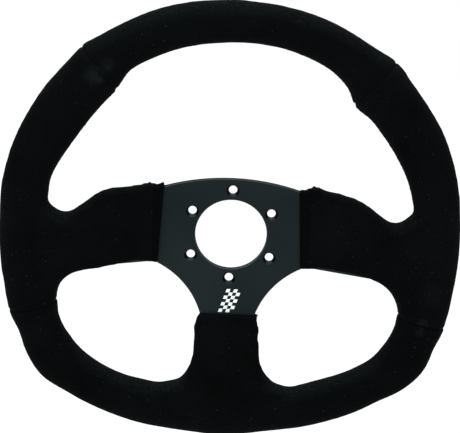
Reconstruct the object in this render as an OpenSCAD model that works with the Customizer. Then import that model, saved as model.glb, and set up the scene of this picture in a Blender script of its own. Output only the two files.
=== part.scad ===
// Flat three-spoke steering wheel with a D-shaped, suede-covered rim.
// The wheel stands upright: X runs to the driver's right, Z up, and the driver sits on the -Y side.
// The origin is the centre of the bolt circle, on the back face of the spoke plate, which seats on a hub.

/* [Ring] */
// Radius of the ring's centreline over the round top
ring_r = 160; // [130:1:200]
// Angle below the horizontal where the round top runs out into the straight flanks
flank_tilt = 14; // [8:1:20]
// Radius of the two lower corners
corner_r = 48; // [35:1:60]
// Radius of the shallow arc along the bottom
base_r = 250; // [220:5:320]
// Height of the hub's centre above the ring at the bottom
base_drop = 148; // [125:1:180]
// Outer diameter of the steel tube
tube_d = 12; // [9:0.5:16]
// Wall of the steel tube
tube_wall = 1.5; // [1:0.25:2.5]

/* [Grip] */
// Depth of the covered rim from front to back
grip_depth = 29; // [25:0.5:36]
// Reach of the grip outside the ring's centreline at the top
out_top = 18.5; // [16:0.5:24]
// Reach outside the centreline at the upper seams
out_thumb = 20.5; // [16:0.5:24]
// Reach outside the centreline beside the side spokes
out_side = 17.5; // [15:0.5:24]
// Reach outside the centreline at the lower seams
out_lower = 21.5; // [16:0.5:24]
// Reach outside the centreline round the lower corners
out_corner = 18; // [16:0.5:24]
// Reach inside the centreline along the thin top
in_top = 12; // [11:0.5:20]
// Reach inside the centreline at the thumb rests
in_thumb = 20.5; // [14:0.5:24]
// Reach inside the centreline beside the side spokes
in_side = 17; // [14:0.5:24]
// Reach inside the centreline at the lower seams
in_lower = 15.5; // [14:0.5:24]
// Reach inside the centreline round the lower corners
in_corner = 18.5; // [14:0.5:24]
// Reach inside the centreline along the bottom
in_base = 16.5; // [14:0.5:24]

/* [Spoke plate] */
// Thickness of the aluminium plate
plate_t = 4; // [3:0.5:6]
// Chamfer along the visible edges of the plate
plate_chamfer = 0.6; // [0.4:0.1:1.2]
// Diameter of the centre bore
bore_d = 55; // [45:1:58]
// Diameter of the bolt circle
bolt_circle_d = 70; // [68:0.5:76]
// Number of hub screws
bolt_count = 6; // [3:1:6]
// Diameter of a screw hole
bolt_hole_d = 6.5; // [4:0.25:7]
// Diameter of the countersink at the front face
sink_d = 10; // [8:0.1:11]
// Depth of the countersink
sink_depth = 2.8; // [1:0.1:2.8]
// Height of the plate's top edge above the hub's centre
crown_h = 44; // [42:0.5:50]
// Radius of the plate's arched top edge
crown_r = 174; // [120:1:240]
// Radius of the arches between the side spokes and the bottom spoke
arch_r = 65.6; // [55:0.2:70]
// Sideways distance from the hub's centre to the middle of an arch
arch_x = 84; // [82:0.5:92]
// Height of the hub's centre above the middle of an arch
arch_drop = 84.4; // [82:0.2:92]

/* [Spokes] */
// Half width of the plate where the side spokes leave it
root_x = 50; // [48:1:56]
// Height of a side spoke's lower edge below the hub's centre at its root
root_drop = 22.5; // [20:0.5:28]
// Height of a side spoke's shoulder above the hub's centre
shoulder_h = 28.5; // [24:0.5:32]
// Distance from a side spoke's shoulder to the ring's centreline
shoulder_back = 66; // [50:1:80]
// Height of a side spoke's tip, at its upper corner, above the hub's centre
tip_h = -3; // [-4:0.5:10]
// Depth of a side spoke's tip, at its lower corner, below the hub's centre
tip_drop = 36.5; // [30:0.5:40]
// Half width of the bottom spoke at its root
stem_root_w = 19.6; // [16:0.2:22]
// Half width of the bottom spoke at its tip
stem_tip_w = 28; // [22:0.5:32]

/* [Saddles] */
// Thickness of the steel strap that joins a spoke to the ring
strap_t = 1.5; // [1:0.25:2]
// Width of a strap along the ring
strap_w = 30; // [20:1:32]
// Diameter of a rivet's shank
rivet_d = 5; // [3:0.25:6]
// Diameter of a rivet's head
rivet_head_d = 7; // [6:0.25:9]
// Height of a rivet's head
rivet_head_h = 1.2; // [0.8:0.1:1.6]
// Distance between the two rivets of a strap
rivet_pitch = 17; // [12:0.5:20]

/* [Cover] */
// Thickness of the suede
suede_t = 1.2; // [0.8:0.1:1.6]
// Thickness of the foam pads glued to both faces of each spoke
pad_t = 2; // [1:0.25:3]
// Distance from the hub's centre to the upper end of a side sleeve's mouth
mouth_top_x = 52; // [50:0.5:60]
// Distance from the hub's centre to the lower end of a side sleeve's mouth
mouth_low_x = 56; // [52:0.5:62]
// Height of the hub's centre above the bottom sleeve's mouth
mouth_drop = 65; // [60:0.5:72]
// Height angle of the two upper seams, seen from the hub's centre
upper_seam_angle = 50; // [42:1:60]
// Distance of the two lower seams from the top of the straight flanks
lower_seam_down = 25; // [20:1:40]
// Diameter of the sewing thread
thread_d = 0.8; // [0.5:0.1:1.2]

/* [Clearances] */
// Glue line between the suede, the foam and the plate
glue_gap = 0.1; // [0.05:0.05:0.2]
// Gap between the steel tube and the foam moulded round it
mould_gap = 0.25; // [0.2:0.05:0.4]
// Gap between a rivet and its hole, and between a strap and the tube
fit_gap = 0.05; // [0.02:0.01:0.1]
// Gap between a spoke's tip and the ring
tip_gap = 2; // [1:0.5:4]
// Gap between the lacing and the suede it lies on
lacing_gap = 0.3; // [0.2:0.05:0.5]
// Gap round a saddle and its rivets inside the foam
pocket_gap = 0.6; // [0.3:0.1:1]
// Gap at each weld between two lengths of the ring's tube
weld_gap = 0.1; // [0.05:0.05:0.3]
// Gap between two suede panels at a seam
seam_gap = 1; // [0.9:0.1:1.6]

/* [Hidden] */
$fn = 96;

section_sides = 16;
tube_sides = 12;
thread_sides = 6;
round_sides = 24;
station_gap = 11;
fine_gap = 8;
cut = 1;

tube_r = tube_d / 2;
mid_y = -plate_t / 2;
grip_half = grip_depth / 2;
sink_flare = (sink_d - bolt_hole_d) / 2 / sink_depth;

// ---- The ring's centreline: a round top, two straight flanks, two corners and a shallow base ----
function unit(a) = [cos(a), sin(a)];
function arc_len(r, a) = PI * r * a / 180;
flank_out = unit(-flank_tilt);
flank_down = unit(-flank_tilt - 90);
flank_top = ring_r * flank_out;
base_c = [0, base_r - base_drop];
corner_gap = flank_top - corner_r * flank_out - base_c;
corner_run = corner_gap * flank_down;
flank_len = sqrt(corner_run * corner_run - corner_gap * corner_gap + pow(base_r - corner_r, 2)) - corner_run;
flank_end = flank_top + flank_len * flank_down;
corner_c = flank_end - corner_r * flank_out;
corner_end_angle = atan2(corner_c[1] - base_c[1], corner_c[0] - base_c[0]);
corner_turn = -flank_tilt - corner_end_angle;
base_turn = 90 + corner_end_angle;

// Distances along the ring from the top to the end of each stretch, down the right-hand side
top_end = arc_len(ring_r, 90 + flank_tilt);
flank_stop = top_end + flank_len;
corner_stop = flank_stop + arc_len(corner_r, corner_turn);
half_len = corner_stop + arc_len(base_r, base_turn);

// Direction that points out of the wheel, at a distance s along the right-hand side
function out_angle(s) =
    s < top_end ? 90 - s / arc_len(ring_r, 1) :
    s < flank_stop ? -flank_tilt :
    s < corner_stop ? -flank_tilt - (s - flank_stop) / arc_len(corner_r, 1) :
    corner_end_angle - (s - corner_stop) / arc_len(base_r, 1);
function ring_point(s) =
    s < top_end ? ring_r * unit(out_angle(s)) :
    s < flank_stop ? flank_top + (s - top_end) * flank_down :
    s < corner_stop ? corner_c + corner_r * unit(out_angle(s)) :
    base_c + base_r * unit(out_angle(s));

// Distances past the bottom belong to the left-hand side, and so do negative ones
function fold(s) = s > half_len ? s - 2 * half_len : s;
function side(s) = fold(s) < 0 ? -1 : 1;

// ---- The grip's section, from its reach at a few named places ----
thumb_start = arc_len(ring_r, 90 - upper_seam_angle);
upper_seam = thumb_start;
lower_seam = top_end + lower_seam_down;
function ease(t) = t * t * (3 - 2 * t);
function eased(s, table, i = 0) =
    i > len(table) - 2 ? table[len(table) - 1][1] :
    s > table[i + 1][0] ? eased(s, table, i + 1) :
    let (t = (s - table[i][0]) / (table[i + 1][0] - table[i][0]))
    table[i][1] + (table[i + 1][1] - table[i][1]) * ease(max(0, t));
side_level = arc_len(ring_r, 90);
// Lengths of rim over which the grip changes from one reach to the next
thumb_rise = 42;
thumb_hold = 40;
side_settle = 50;
lower_settle = 5;
corner_settle = 20;
reach_out = [[0, out_top], [thumb_start, out_thumb], [side_level, out_side], [lower_seam, out_lower],
    [flank_stop + corner_settle, out_corner], [half_len, out_top]];
reach_in = [[thumb_start - thumb_rise, in_top], [thumb_start, in_thumb], [thumb_start + thumb_hold, in_thumb],
    [side_level - side_settle, in_side], [top_end, in_side], [lower_seam + lower_settle, in_lower],
    [flank_stop + corner_settle, in_corner], [corner_stop + corner_settle, in_base]];

// One ring of points round the grip, shrunk by a depth below its surface
function grip_ring(s, sunk = 0, sides = section_sides) =
    let (f = abs(fold(s)), p = ring_point(f), n = unit(out_angle(f)),
        o = eased(f, reach_out) - sunk, i = eased(f, reach_in) - sunk)
    [for (k = [0 : sides - 1])
        let (a = 360 * k / sides, r = (o - i) / 2 + (o + i) / 2 * cos(a))
        [side(s) * (p[0] + r * n[0]), mid_y + (grip_half - sunk) * sin(a), p[1] + r * n[1]]];
// One ring of points round the tube's centreline
function tube_ring(s, r, sides = tube_sides, shift = 0) =
    let (f = abs(fold(s)), p = ring_point(f), n = unit(out_angle(f)))
    [for (k = [0 : sides - 1])
        let (a = 360 * (k + 0.5) / sides, w = shift + r * cos(a))
        [side(s) * (p[0] + w * n[0]), mid_y + r * sin(a), p[1] + w * n[1]]];

// Evenly spaced stations from one place on the rim to another
function stations(from, to, gap = station_gap) =
    let (n = ceil((to - from) / gap)) [for (k = [0 : n]) from + (to - from) * k / n];
function all_but_last(list) = [for (k = [0 : len(list) - 2]) list[k]];
function reversed(list) = [for (k = [len(list) - 1 : -1 : 0]) list[k]];
upper_stretch = stations(upper_seam, lower_seam);
lower_stretch = stations(lower_seam, 2 * half_len - lower_seam);
top_stretch = stations(-upper_seam, upper_seam);
// The same stretch, stopped short of the seams at both ends
function trimmed(list, by) =
    [for (k = [0 : len(list) - 1]) list[k] + (k == 0 ? by : k == len(list) - 1 ? -by : 0)];

// Joins a row of point rings into a closed skin. From the ring called back onwards, the rings run back
// along the inside of a wall, where the faces are split the other way so that both walls stay parallel.
module skin(rings, loop = false, back = 10000) {
    n = len(rings[0]);
    m = len(rings);
    sides = [for (i = [0 : m - (loop ? 1 : 2)], k = [0 : n - 1])
        let (j = (i + 1) % m, l = (k + 1) % n, a = i * n, b = j * n)
        each i < back ? [[a + k, a + l, b + k], [a + l, b + l, b + k]] :
            [[a + k, a + l, b + l], [a + k, b + l, b + k]]];
    ends = loop ? [] : [[for (k = [n - 1 : -1 : 0]) k], [for (k = [0 : n - 1]) (m - 1) * n + k]];
    polyhedron(points = [for (r = rings) each r], faces = concat(sides, ends), convexity = 8);
}

function grip_rings(list, sunk = 0) = [for (s = list) grip_ring(s, sunk)];

// ---- Spoke outlines: a side spoke is drawn on the right and mirrored, the bottom spoke hangs down ----
tip_r = ring_r - tube_r - tip_gap;
stem_tip = base_drop - tube_r - tip_gap;
root_top = sqrt(crown_r * crown_r - root_x * root_x) + crown_h - crown_r;
side_upper = [[root_x, root_top], [ring_r - shoulder_back, shoulder_h], [tip_r, tip_h]];
side_lower = [[root_x, -root_drop], [tip_r, -tip_drop]];
stem_width = [[mouth_drop, stem_root_w], [stem_tip, stem_tip_w]];

// Room for the spoke, its pads and its sleeve, from the plate's middle outwards
pad_face = plate_t / 2 + glue_gap + pad_t;
sleeve_half = pad_face + glue_gap + suede_t;
// The sleeve stands off the spoke's edge just far enough for the plate's corners to clear its round inside
sleeve_margin = sleeve_half - sqrt(pow(sleeve_half - suede_t - glue_gap, 2) - pow(plate_t / 2, 2));
pad_inset = sleeve_half - sleeve_margin;

module side_spoke_outline(margin = 0, from = root_x, to = tip_r) {
    intersection() {
        polygon([[from, lookup(from, side_upper) + margin],
            [side_upper[1][0], shoulder_h + margin],
            [tip_r, tip_h + margin],
            [tip_r, -tip_drop - margin],
            [from, lookup(from, side_lower) - margin]]);
        circle(r = to);
    }
}
module stem_outline(margin = 0, from = mouth_drop, to = base_r - tube_r - tip_gap) {
    intersection() {
        polygon([[-lookup(from, stem_width) - margin, -from], [lookup(from, stem_width) + margin, -from],
            [stem_tip_w + margin, -stem_tip - cut], [-stem_tip_w - margin, -stem_tip - cut]]);
        translate(base_c) circle(r = to);
    }
}
// Turns a flat outline upright, from depth y0 to depth y1
module upright(y0, y1) {
    translate([0, y1, 0]) rotate([90, 0, 0]) linear_extrude(y1 - y0) children();
}
module on_both_sides() {
    children();
    mirror([1, 0, 0]) children();
}
// A round bar, cone or hole along the steering axis, from depth y0 to depth y1
module across(y0, y1, r0, r1) {
    translate([0, y0, 0]) rotate([-90, 0, 0]) cylinder(h = y1 - y0, r1 = r0, r2 = r1);
}

// ---- Rivets: two through each spoke tip ----
rivet_x = ring_r - tube_r - fit_gap - strap_t - rivet_head_d / 2 - fit_gap;
side_rivet_angle = -asin((tip_drop - tip_h) / 2 / ring_r);
stem_rivet_x = base_r - (ring_r - rivet_x);
side_rivet_step = asin(rivet_pitch / 2 / rivet_x);
stem_rivet_step = asin(rivet_pitch / 2 / stem_rivet_x);
module at_side_rivets() {
    for (k = [-1, 1]) rotate([0, -side_rivet_angle - k * side_rivet_step, 0])
        translate([rivet_x, 0, 0]) children();
}
module at_stem_rivets() {
    for (k = [-1, 1]) translate([0, 0, base_c[1]]) rotate([0, 90 + k * stem_rivet_step, 0])
        translate([stem_rivet_x, 0, 0]) children();
}
module rivet() {
    grip = plate_t / 2 + fit_gap + strap_t + fit_gap;
    translate([0, mid_y, 0]) {
        across(-grip, grip, rivet_d / 2, rivet_d / 2);
        across(grip, grip + rivet_head_h, rivet_head_d / 2, rivet_d / 2);
        across(-grip - rivet_head_h, -grip, rivet_d / 2, rivet_head_d / 2);
    }
}
module rivet_hole() {
    translate([0, mid_y, 0]) across(-sleeve_half, sleeve_half, rivet_d / 2 + fit_gap, rivet_d / 2 + fit_gap);
}

// ---- Spoke plate ----
module plate_cut(y0, y1, grow0, grow1) {
    on_both_sides() translate([arch_x, 0, -arch_drop]) across(y0, y1, arch_r + grow0, arch_r + grow1);
    across(y0, y1, bore_d / 2 + grow0, bore_d / 2 + grow1);
}
module plate_hub() {
    difference() {
        intersection() {
            translate([0, 0, crown_h - crown_r]) union() {
                across(-plate_t, plate_chamfer - plate_t, crown_r - plate_chamfer, crown_r);
                across(plate_chamfer - plate_t, 0, crown_r, crown_r);
            }
            translate([glue_gap - mouth_low_x, -plate_t, glue_gap - mouth_drop])
                cube([2 * (mouth_low_x - glue_gap), plate_t, mouth_drop + crown_h]);
        }
        plate_cut(-plate_t - cut, cut, 0, 0);
        plate_cut(-plate_t - cut, plate_chamfer - plate_t, plate_chamfer + cut, 0);
    }
}
module spoke_plate() {
    color("#2a3033") difference() {
        union() {
            plate_hub();
            on_both_sides() upright(-plate_t, 0) side_spoke_outline(from = mouth_top_x);
            upright(-plate_t, 0) stem_outline(from = mouth_drop - cut);
        }
        for (k = [0 : bolt_count - 1]) rotate([0, 90 + 360 * k / bolt_count, 0])
            translate([bolt_circle_d / 2, 0, 0]) {
                across(-plate_t - cut, cut, bolt_hole_d / 2, bolt_hole_d / 2);
                across(-plate_t - cut, sink_depth - plate_t, sink_d / 2 + cut * sink_flare, bolt_hole_d / 2);
            }
        on_both_sides() at_side_rivets() rivet_hole();
        at_stem_rivets() rivet_hole();
    }
}

// ---- Steel ring: bent and straight lengths of tube, butt-welded end to end ----
module tube_section() {
    difference() {
        circle(r = tube_r);
        circle(r = tube_r - tube_wall);
    }
}
module bent_length(centre, r, start, turn) {
    trim = weld_gap / 2 / arc_len(r, 1);
    translate([centre[0], mid_y, centre[1]]) rotate([90, 0, 0])
        rotate_extrude(angle = turn - 2 * trim, start = start + trim) translate([r, 0]) tube_section();
}
module flank_length() {
    translate([flank_top[0], mid_y, flank_top[1]]) rotate([0, 180 + flank_tilt, 0])
        translate([0, 0, weld_gap / 2]) linear_extrude(flank_len - weld_gap) tube_section();
}
module rim_ring() {
    color("#8f959a") {
        bent_length([0, 0], ring_r, -flank_tilt, 180 + 2 * flank_tilt);
        on_both_sides() {
            flank_length();
            bent_length(corner_c, corner_r, corner_end_angle, corner_turn);
        }
        bent_length(base_c, base_r, -90 - base_turn, 2 * base_turn);
    }
}

// ---- Saddles: a strap bent round the tube, with a leg on each face of the spoke's tip ----
module strap_section(r) {
    loop_r = tube_r + fit_gap + strap_t;
    leg_end = r - ring_r + rivet_x - rivet_head_d / 2 - strap_t;
    difference() {
        union() {
            translate([r, 0]) circle(r = loop_r);
            translate([leg_end, -plate_t / 2 - fit_gap - strap_t])
                square([r - leg_end, plate_t + 2 * fit_gap + 2 * strap_t]);
        }
        translate([r, 0]) circle(r = tube_r + fit_gap);
        translate([leg_end - cut, -plate_t / 2 - fit_gap])
            square([r - leg_end, plate_t + 2 * fit_gap]);
    }
}
module saddle(centre, r, middle) {
    half_turn = asin(strap_w / 2 / r);
    translate([centre[0], mid_y, centre[1]]) rotate([90, 0, 0])
        rotate_extrude(angle = 2 * half_turn, start = middle - half_turn) strap_section(r);
}
module right_saddle() {
    color("#7d8388") difference() {
        saddle([0, 0], ring_r, side_rivet_angle);
        at_side_rivets() rivet_hole();
    }
}
module left_saddle() {
    mirror([1, 0, 0]) right_saddle();
}
module bottom_saddle() {
    color("#7d8388") difference() {
        saddle(base_c, base_r, -90);
        at_stem_rivets() rivet_hole();
    }
}
module right_rivets() {
    color("#b4b9bd") at_side_rivets() rivet();
}
module left_rivets() {
    mirror([1, 0, 0]) right_rivets();
}
module bottom_rivets() {
    color("#b4b9bd") at_stem_rivets() rivet();
}

// ---- Foam moulded round the ring, with a pocket for each saddle ----
pocket_loop = tube_r + fit_gap + strap_t + pocket_gap;
pocket_leg = plate_t / 2 + fit_gap + strap_t + pocket_gap;
pocket_head = pocket_leg + fit_gap + rivet_head_h;
pocket_end = ring_r - rivet_x + rivet_head_d / 2 + strap_t + in_side;
// The pocket points along +X, with the ring's centreline at its origin; the spoke in it is 2 * half wide
module saddle_pocket(r, half) {
    tip = strap_w / 2 * (1 + pocket_loop / r) + pocket_gap;
    sag = r - sqrt(r * r - tip * tip);
    hull() for (z = [-tip, tip - cut], x = [-sag, 0])
        translate([x, 0, z]) cylinder(h = cut, r = pocket_loop, $fn = round_sides);
    hull() for (z = [-half, half], x = [-pocket_end, -tube_r])
        translate([x, 0, z]) across(-pocket_leg, pocket_leg, pocket_gap, pocket_gap, $fn = round_sides / 2);
    hull() for (z = [-1, 1]) translate([rivet_x - ring_r - sag, 0, z * rivet_pitch / 2])
        across(-pocket_head, pocket_head, rivet_head_d / 2 + pocket_gap, rivet_head_d / 2 + pocket_gap,
               $fn = round_sides);
}
module side_pocket() {
    middle = (tip_drop - tip_h) / 2;
    translate([0, mid_y, 0]) rotate([0, -side_rivet_angle, 0]) translate([ring_r, 0, 0])
        saddle_pocket(ring_r, middle + lookup(ring_r - pocket_end, side_upper));
}
module rim_foam() {
    closed = concat(all_but_last(upper_stretch), all_but_last(lower_stretch),
        [for (s = all_but_last(reversed(upper_stretch))) 2 * half_len - s],
        all_but_last([for (s = top_stretch) s + 2 * half_len]));
    channel = stations(0, 2 * half_len, fine_gap);
    color("#4a4a46") difference() {
        skin([for (s = closed) grip_ring(s > 2 * half_len ? s - 2 * half_len : s, suede_t + glue_gap)],
             loop = true);
        skin([for (s = all_but_last(channel)) tube_ring(s, (tube_r + mould_gap) / cos(180 / tube_sides))],
             loop = true);
        side_pocket();
        mirror([1, 0, 0]) side_pocket();
        translate([0, mid_y, -base_drop]) rotate([0, 90, 0]) saddle_pocket(base_r, stem_tip_w);
    }
}

// ---- Foam pads on the spokes, under the sleeves ----
module side_pad(y0) {
    color("#55554f") upright(y0, y0 + pad_t)
        side_spoke_outline(margin = -pad_inset, from = mouth_low_x + cut,
                           to = rivet_x - rivet_head_d / 2 - strap_t - cut);
}
module stem_pad(y0) {
    color("#55554f") upright(y0, y0 + pad_t)
        stem_outline(margin = -pad_inset, from = mouth_drop + 2 * cut,
            to = stem_rivet_x - rivet_head_d / 2 - strap_t - cut);
}
front_pad_y = -plate_t - glue_gap - pad_t;
module right_pad_front() side_pad(front_pad_y);
module right_pad_back() side_pad(glue_gap);
module left_pad_front() mirror([1, 0, 0]) side_pad(front_pad_y);
module left_pad_back() mirror([1, 0, 0]) side_pad(glue_gap);
module bottom_pad_front() stem_pad(front_pad_y);
module bottom_pad_back() stem_pad(glue_gap);

// ---- Suede panels: each wraps its stretch of rim, and three of them run inwards as sleeves ----
slice_t = 0.1;
side_sleeve_end = ring_r - in_side / 2;
stem_sleeve_end = base_drop - in_base / 2;
// A slice across a sleeve: two discs, one at each edge of the spoke
module side_slice(x, sunk) {
    low_x = x + (mouth_low_x - mouth_top_x) * (side_sleeve_end - x) / (side_sleeve_end - mouth_top_x);
    r = sleeve_half - sunk;
    for (p = [[x, lookup(x, side_upper) - pad_inset], [low_x, lookup(low_x, side_lower) + pad_inset]])
        translate([p[0], mid_y, p[1]]) rotate([0, 90, 0]) cylinder(h = slice_t, r = r, $fn = round_sides);
}
module stem_slice(z, sunk) {
    r = sleeve_half - sunk;
    for (k = [-1, 1]) translate([k * (lookup(z, stem_width) - pad_inset), mid_y, -z])
        rotate([180, 0, 0]) cylinder(h = slice_t, r = r, $fn = round_sides);
}
module side_sleeve(sunk = 0, spare = 0) {
    shoulder_x = side_upper[1][0];
    xs = concat(all_but_last(stations(mouth_top_x - spare, shoulder_x)),
                stations(shoulder_x, side_sleeve_end));
    for (i = [0 : len(xs) - 2]) hull() {
        side_slice(xs[i], sunk);
        side_slice(xs[i + 1], sunk);
    }
}
module stem_sleeve(sunk = 0, spare = 0) {
    zs = stations(mouth_drop - spare, stem_sleeve_end, fine_gap);
    for (i = [0 : len(zs) - 2]) hull() {
        stem_slice(zs[i], sunk);
        stem_slice(zs[i + 1], sunk);
    }
}
module cover_top() {
    list = trimmed(top_stretch, seam_gap / 2);
    color("#141617")
        skin(concat(grip_rings(list), reversed(grip_rings(list, suede_t))), loop = true, back = len(list));
}
module cover_right() {
    color("#141617") difference() {
        union() {
            skin(grip_rings(trimmed(upper_stretch, seam_gap / 2)));
            side_sleeve();
        }
        skin(grip_rings(upper_stretch, suede_t));
        side_sleeve(suede_t, cut);
    }
}
module cover_left() {
    mirror([1, 0, 0]) cover_right();
}
module cover_bottom() {
    color("#141617") difference() {
        union() {
            skin(grip_rings(trimmed(lower_stretch, seam_gap / 2)));
            stem_sleeve();
        }
        skin(grip_rings(lower_stretch, suede_t));
        stem_sleeve(suede_t, cut);
    }
}

// ---- Thread: a loop round the rim at each seam, and lacing along the inner edges of the rim ----
thread_sunk = (thread_d + seam_gap) / 4;
module seam_loop(s) {
    count = 32;
    p = ring_point(s);
    n = unit(out_angle(s));
    t = unit(out_angle(s) - 90);
    o = eased(s, reach_out) - thread_sunk;
    i = eased(s, reach_in) - thread_sunk;
    rings = [for (k = [0 : count - 1])
        let (a = 360 * k / count, r = (o - i) / 2 + (o + i) / 2 * cos(a),
             d = (grip_half - thread_sunk) * sin(a))
        [for (j = [0 : thread_sides - 1])
            let (b = 360 * j / thread_sides, w = thread_d / 2 * cos(b), v = thread_d / 2 * sin(b),
                q = p + (r + w * cos(a)) * n + v * t)
            [q[0], mid_y + d + w * sin(a), q[1]]]];
    color("#060606") skin(reversed(rings), loop = true);
}
module lacing(from, to) {
    color("#060606") skin([for (s = stations(from, to, fine_gap))
        let (p = ring_point(s), n = unit(out_angle(s)), c = -eased(s, reach_in) - thread_d / 2 - lacing_gap)
        [for (j = [0 : thread_sides - 1])
            let (b = 360 * j / thread_sides, w = c + thread_d / 2 * cos(b))
            [p[0] + w * n[0], mid_y + thread_d / 2 * sin(b), p[1] + w * n[1]]]]);
}
lacing_end = 2 * seam_gap;
spoke_clear = sleeve_margin + 2 * thread_d;
side_lacing_end = arc_len(ring_r, 90 - asin((tip_h + shoulder_h) / 2 / ring_r)) - in_side;
stem_lacing_end = half_len - (stem_tip_w + spoke_clear) * base_r / (base_r - in_base);
module top_lacing() {
    lacing(0, upper_seam - lacing_end);
    mirror([1, 0, 0]) lacing(thread_d, upper_seam - lacing_end);
    on_both_sides() lacing(upper_seam + lacing_end, side_lacing_end);
}
module right_lacing() {
    lacing(lower_seam + lacing_end, stem_lacing_end);
}
module left_lacing() {
    mirror([1, 0, 0]) right_lacing();
}
module upper_right_seam() seam_loop(upper_seam);
module lower_right_seam() seam_loop(lower_seam);
module upper_left_seam() mirror([1, 0, 0]) seam_loop(upper_seam);
module lower_left_seam() mirror([1, 0, 0]) seam_loop(lower_seam);

spoke_plate();
rim_ring();
left_saddle();
right_saddle();
bottom_saddle();
left_rivets();
right_rivets();
bottom_rivets();
rim_foam();
left_pad_front();
left_pad_back();
right_pad_front();
right_pad_back();
bottom_pad_front();
bottom_pad_back();
cover_top();
cover_left();
cover_right();
cover_bottom();
top_lacing();
left_lacing();
right_lacing();
upper_left_seam();
upper_right_seam();
lower_left_seam();
lower_right_seam();
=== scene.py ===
# %% [markdown]
# # A suede-covered, D-shaped steering wheel
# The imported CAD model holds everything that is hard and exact: the spoke plate with its bore and bolt
# holes, the steel ring, the saddles, the rivets and the foam. This lesson adds what CAD is poor at: four
# stretched suede panels with rolled seams and gathered sleeve mouths, their stitching, the ink mark on
# the plate, and a material for every piece.

# %% Load the frame
import math

import bmesh
import bpy
from mathutils import Matrix, Vector, noise
from mathutils.bvhtree import BVHTree


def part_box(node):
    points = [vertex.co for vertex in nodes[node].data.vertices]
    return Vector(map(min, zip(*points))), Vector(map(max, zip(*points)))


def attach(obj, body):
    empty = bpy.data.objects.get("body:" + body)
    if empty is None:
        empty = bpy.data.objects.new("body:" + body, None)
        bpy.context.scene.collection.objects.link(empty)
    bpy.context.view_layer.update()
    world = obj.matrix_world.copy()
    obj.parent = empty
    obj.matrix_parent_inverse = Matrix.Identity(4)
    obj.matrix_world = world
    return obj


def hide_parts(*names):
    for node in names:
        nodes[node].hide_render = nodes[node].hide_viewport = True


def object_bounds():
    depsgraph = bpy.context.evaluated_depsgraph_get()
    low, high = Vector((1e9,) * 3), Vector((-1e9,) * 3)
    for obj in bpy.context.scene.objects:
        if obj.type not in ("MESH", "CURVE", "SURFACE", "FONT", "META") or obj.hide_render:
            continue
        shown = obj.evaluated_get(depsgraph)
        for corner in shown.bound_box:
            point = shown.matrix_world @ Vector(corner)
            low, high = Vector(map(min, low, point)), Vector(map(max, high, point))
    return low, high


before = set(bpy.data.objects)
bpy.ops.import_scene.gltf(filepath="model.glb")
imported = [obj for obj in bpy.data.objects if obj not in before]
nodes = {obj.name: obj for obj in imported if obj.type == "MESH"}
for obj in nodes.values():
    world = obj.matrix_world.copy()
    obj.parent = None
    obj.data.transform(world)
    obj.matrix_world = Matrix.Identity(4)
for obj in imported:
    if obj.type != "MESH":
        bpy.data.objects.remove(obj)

cad_low, cad_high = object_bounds()
scene = bpy.context.scene
MM = 0.001
print("CAD box", [round(v, 4) for v in (*cad_low, *cad_high)], "with", len(nodes), "nodes")

# %% [markdown]
# ## The camera
# The wheel is seen from a little over a metre away, 16 degrees above the steering axis, and it leans by
# three degrees in the picture because the camera is rolled. A long lens keeps the rim's outline close to
# its true shape. The wheel sits a little below the middle of the picture, so the lens is shifted up.
# A camera looks along its own -Z axis, so a quaternion that sends -Z towards the hub aims it.

# %% Camera
CAMERA_DISTANCE = 1.2
CAMERA_HEIGHT_ANGLE = math.radians(16.15)
CAMERA_SIDE_ANGLE = math.radians(-0.9)
CAMERA_ROLL = math.radians(2.82)
LENS = 121.8
SHIFT = (-0.0021, 0.0364)

camera_data = bpy.data.cameras.new("camera")
camera_data.lens = LENS
camera_data.shift_x, camera_data.shift_y = SHIFT
camera = bpy.data.objects.new("camera", camera_data)
scene.collection.objects.link(camera)
hub = Vector((0.0, 0.0, 0.0))
camera.location = hub + CAMERA_DISTANCE * Vector((
    math.sin(CAMERA_SIDE_ANGLE) * math.cos(CAMERA_HEIGHT_ANGLE),
    -math.cos(CAMERA_SIDE_ANGLE) * math.cos(CAMERA_HEIGHT_ANGLE),
    math.sin(CAMERA_HEIGHT_ANGLE)))
aim = (hub - camera.location).to_track_quat("-Z", "Y")
camera.rotation_mode = "QUATERNION"
camera.rotation_quaternion = aim @ Matrix.Rotation(CAMERA_ROLL, 3, "Z").to_quaternion()
scene.camera = camera
print("camera at", [round(v, 3) for v in camera.location])

# %% [markdown]
# ## Light and floor
# Black suede shows its shape only by faint differences, so the light is soft and comes from all round,
# with one large panel above and to the left that gives the metal its slow gradient. The floor is a plain
# pale sheet, far enough below the wheel that no shadow reaches the picture.

# %% Light and floor
FLOOR_DROP = 1.1
FLOOR_SIZE = 80.0
WORLD_STRENGTH = 1.12

scene.view_settings.view_transform = "Standard"
world = bpy.data.worlds.new("studio")
world.use_nodes = True
world.node_tree.nodes["Background"].inputs["Color"].default_value = (1.0, 1.0, 1.0, 1.0)
world.node_tree.nodes["Background"].inputs["Strength"].default_value = WORLD_STRENGTH
scene.world = world


def soft_panel(name, place, size, power):
    """A square area light at a place, turned to face the hub."""
    data = bpy.data.lights.new(name, "AREA")
    data.shape = "SQUARE"
    data.size = size
    data.energy = power
    lamp = bpy.data.objects.new(name, data)
    lamp.location = place
    lamp.rotation_mode = "QUATERNION"
    lamp.rotation_quaternion = (hub - lamp.location).to_track_quat("-Z", "Y")
    scene.collection.objects.link(lamp)
    return lamp


soft_panel("key_light", Vector((-1.1, -1.3, 1.3)), 1.2, 18.0)
soft_panel("top_light", Vector((0.2, 0.3, 1.8)), 1.0, 10.0)

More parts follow.
